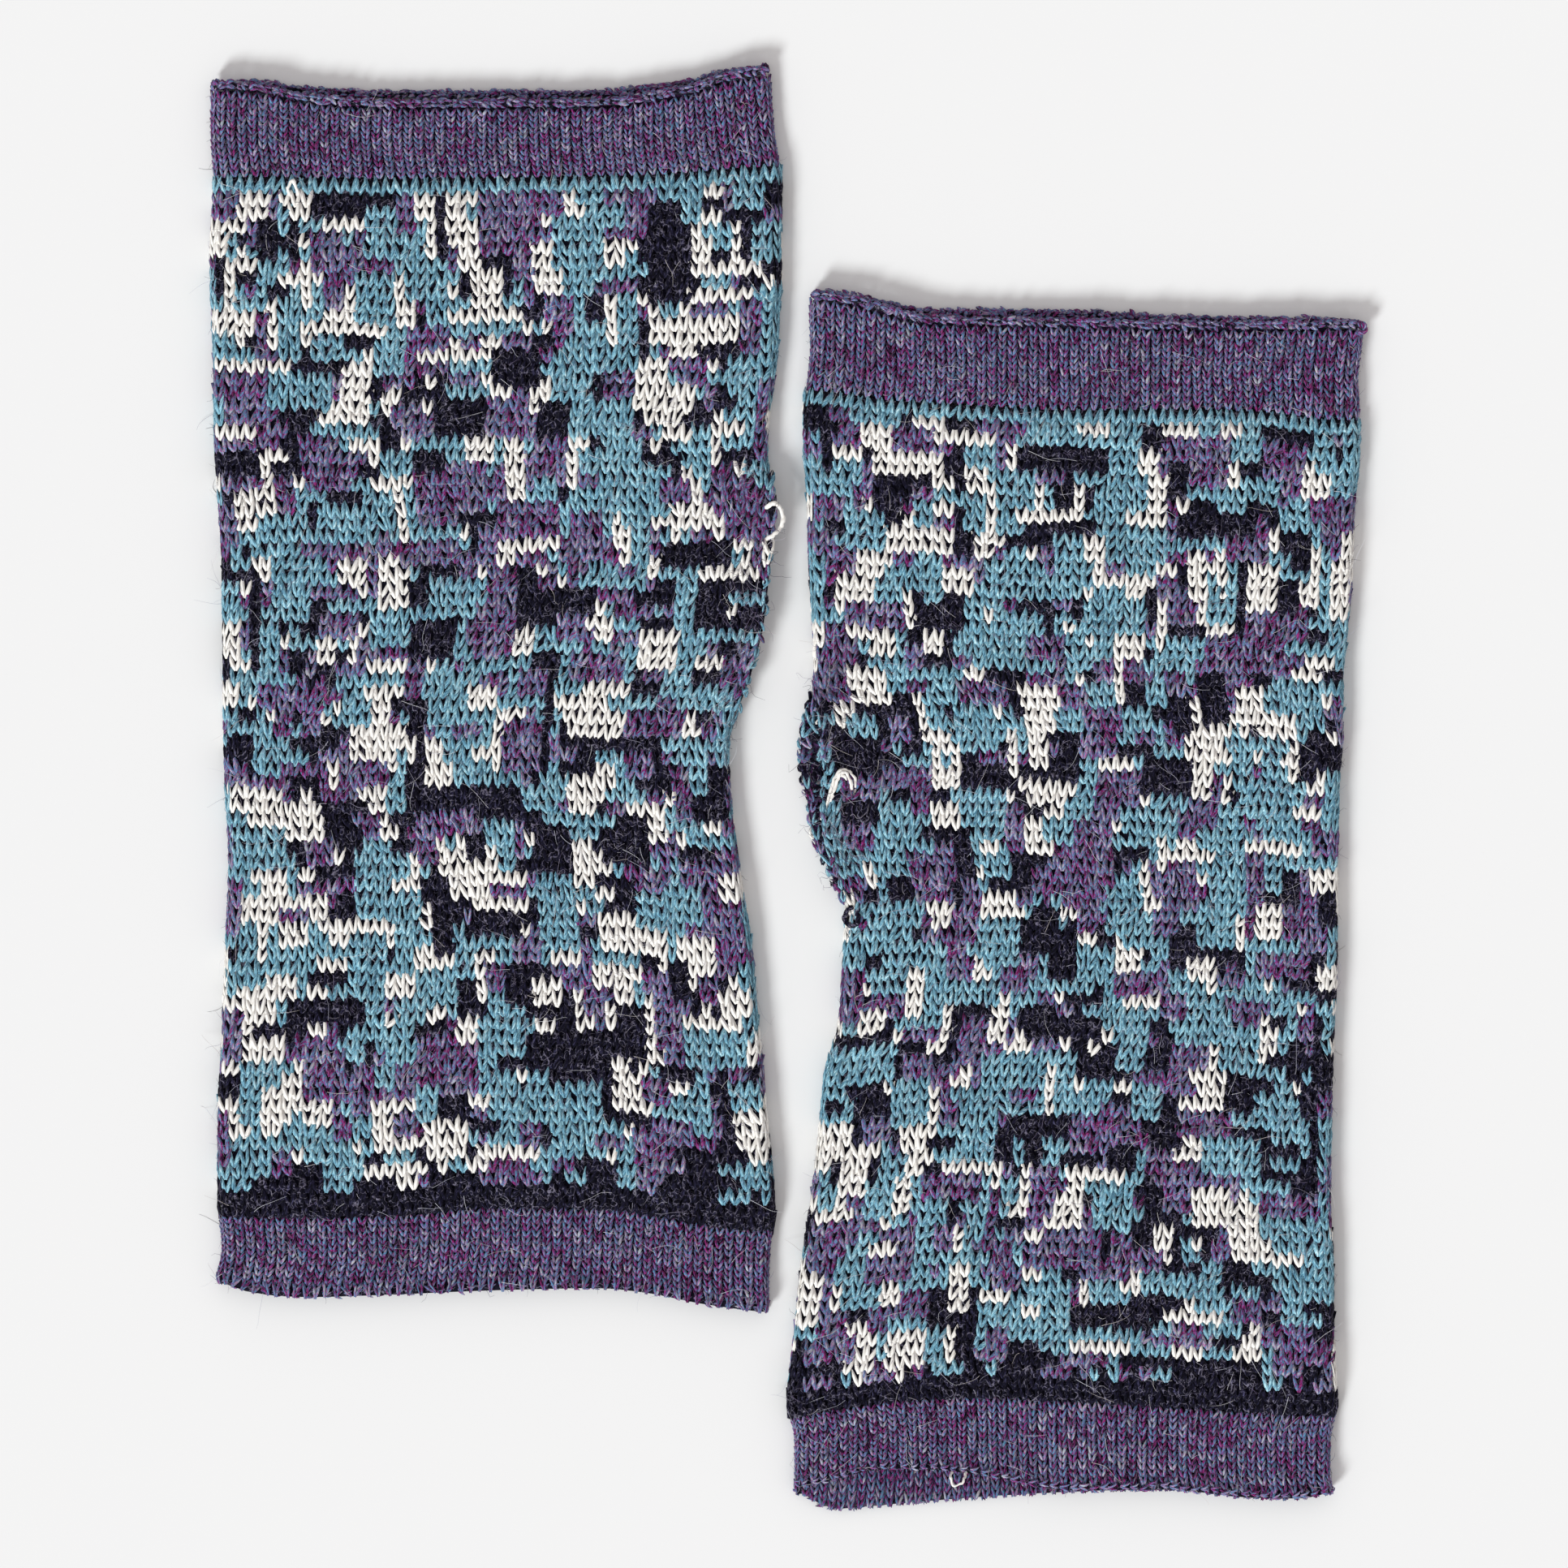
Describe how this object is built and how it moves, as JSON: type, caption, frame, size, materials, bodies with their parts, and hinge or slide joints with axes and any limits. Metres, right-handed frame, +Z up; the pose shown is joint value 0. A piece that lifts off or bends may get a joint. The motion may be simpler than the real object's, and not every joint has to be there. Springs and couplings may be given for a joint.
{
  "type": "pair of fingerless mittens",
  "caption": "Pair of knitted fingerless mittens laid flat: folded tubes with a side slit for the thumb, plain cuffs at both ends and a rolled bound-off rim.",
  "frame": {"origin": "middle of the pair's outline, on the surface that it lies on", "axes": "+X across the pair towards the mitten whose thumb slit faces -X, +Y from the forearm ends to the finger ends, +Z up from the surface"},
  "size_m": [0.2055, 0.2573, 0.005],
  "materials": {
    "heather_yarn": "fine wool in a purple heather with magenta, teal and grey flecks, stocking stitch, matt and slightly hairy",
    "jacquard": "four-colour machine jacquard in irregular blocks, matt and hairy",
    "teal_yarn": "fine wool, teal blue, matt",
    "ivory_yarn": "fine wool, ivory, matt",
    "navy_yarn": "brushed fine wool, blue-black with pale stray hairs, matt"
  },
  "bodies": {
    "root": {"left_body": "jacquard", "left_hand_cuff": "heather_yarn", "left_arm_cuff": "heather_yarn", "left_hand_rim": "heather_yarn", "right_body": "jacquard", "right_hand_cuff": "heather_yarn", "right_arm_cuff": "heather_yarn", "right_hand_rim": "heather_yarn"}
  },
  "joints": []
}
